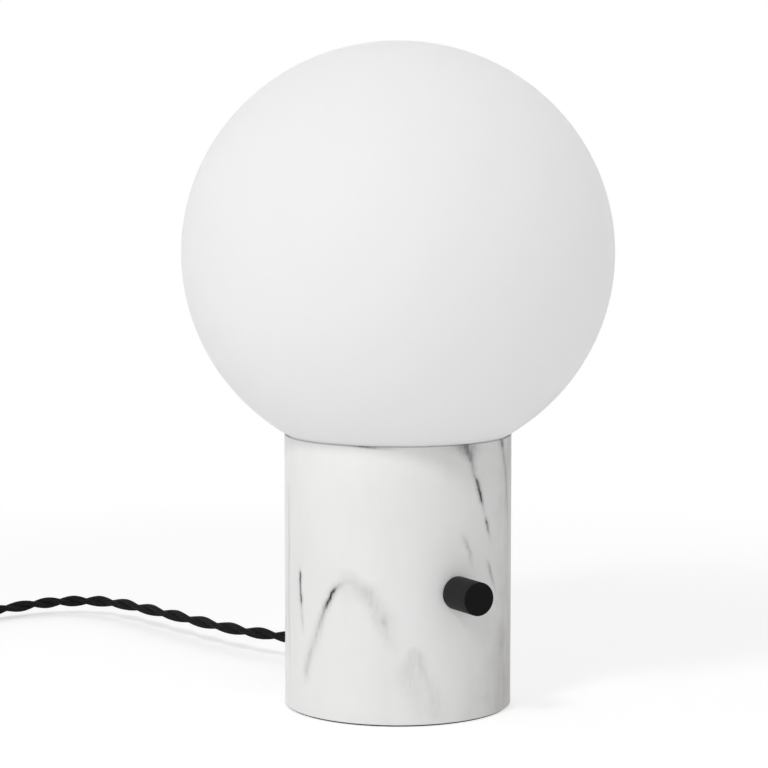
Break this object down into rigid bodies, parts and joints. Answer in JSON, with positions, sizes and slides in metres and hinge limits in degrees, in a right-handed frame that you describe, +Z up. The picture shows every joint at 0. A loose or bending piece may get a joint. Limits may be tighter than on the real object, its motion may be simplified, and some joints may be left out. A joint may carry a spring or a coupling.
{
  "type": "globe table lamp",
  "caption": "Table lamp with a large opal glass globe nested on a round veined stone base, a side dimmer knob and a twisted cloth cord.",
  "frame": {"origin": "middle of the underside, on the surface that the lamp stands on", "axes": "+Z up along the globe's and the base's axis, -Y out through the dimmer knob, +Y out through the cord gland"},
  "size_m": [0.4079, 0.5468, 0.3855],
  "materials": {
    "stone": "polished white stone with soft grey veins",
    "opal_glass": "matt opal white glass",
    "black_plastic": "matt black moulded plastic",
    "dark_plastic": "dark grey moulded plastic",
    "white_plastic": "white moulded plastic",
    "glazed_carrier": "white glazed ceramic",
    "zinc_steel": "zinc plated steel",
    "painted_steel": "white painted pressed steel",
    "nickel": "nickel plate",
    "brass": "machined brass",
    "aluminium": "bare aluminium",
    "circuit_board": "green lacquered board",
    "light_chip": "yellow phosphor",
    "silicone": "translucent grey silicone",
    "foam_pad": "black closed-cell foam",
    "black_cloth": "black braided cloth over twisted cores",
    "wire_brown": "brown insulated wire",
    "wire_blue": "blue insulated wire",
    "black_glass": "black vitreous insulator"
  },
  "bodies": {
    "lamp_base": {"foot_pad": "foam_pad", "base_plate": "zinc_steel", "tie_rods": "zinc_steel", "rod_nuts_lower": "zinc_steel", "rod_nuts_upper": "zinc_steel", "rod_washers": "zinc_steel", "stone_base": "stone", "top_dish": "painted_steel", "globe_gasket": "silicone", "holder_pipe": "zinc_steel", "pipe_washer": "zinc_steel", "pipe_nut": "zinc_steel", "holder_cap": "white_plastic", "holder_carrier": "glazed_carrier", "holder_sleeve": "white_plastic", "holder_shell": "nickel", "holder_spring": "brass", "holder_terminals": "brass", "dimmer_housing": "dark_plastic", "dimmer_bush": "nickel", "dimmer_washer": "zinc_steel", "dimmer_nut": "nickel", "dimmer_track": "circuit_board", "dimmer_cover": "dark_plastic", "dimmer_posts": "brass", "cord_gland": "black_plastic", "gland_nut": "black_plastic", "cord_inner": "black_cloth", "clamp_base": "white_plastic", "clamp_saddle": "white_plastic", "clamp_screws": "zinc_steel", "terminal_block": "white_plastic", "terminal_sleeves": "brass", "terminal_screws": "zinc_steel", "supply_cores": "wire_brown", "wire_live": "wire_brown", "wire_dimmed": "wire_brown", "wire_neutral": "wire_blue", "cord_lead": "black_cloth", "cord_coil": "black_cloth", "coil_tie": "black_cloth", "plug_guard": "black_plastic", "plug_body": "black_plastic", "plug_blades": "nickel"},
    "knob": {"dimmer_shaft": "aluminium", "dimmer_rotor": "dark_plastic", "dimmer_wiper": "brass", "knob_insert": "brass", "dimmer_knob": "black_plastic", "knob_grub_screw": "zinc_steel"},
    "bulb_carrier": {"bulb_contact": "nickel", "bulb_insulator": "black_glass"},
    "bulb": {"bulb_cap": "nickel", "bulb_housing": "white_plastic", "bulb_diffuser": "white_plastic", "light_board": "aluminium", "light_chips": "light_chip", "bulb_driver": "circuit_board"},
    "globe": {"glass_globe": "opal_glass"}
  },
  "joints": [
    {"name": "knob_turn", "type": "hinge", "parent": "lamp_base", "child": "knob", "pos_m": [0, -0.062, 0.0753], "axis": [0, -1, 0], "range_deg": [-300, 0]},
    {"name": "globe_lift", "type": "slide", "parent": "lamp_base", "child": "globe", "axis": [0, 0, 1], "range_m": [0, 0.16]},
    {"name": "bulb_rise", "type": "slide", "parent": "lamp_base", "child": "bulb_carrier", "axis": [0, 0, 1], "range_m": [0, 0.01088]},
    {"name": "bulb_turn", "type": "hinge", "parent": "bulb_carrier", "child": "bulb", "pos_m": [0, 0, 0.16], "axis": [0, 0, 1], "range_deg": [0, 1080]}
  ],
  "couplings": [
    {"joint": "bulb_turn", "follows": "bulb_rise", "rad_per_m": 1731.4}
  ]
}
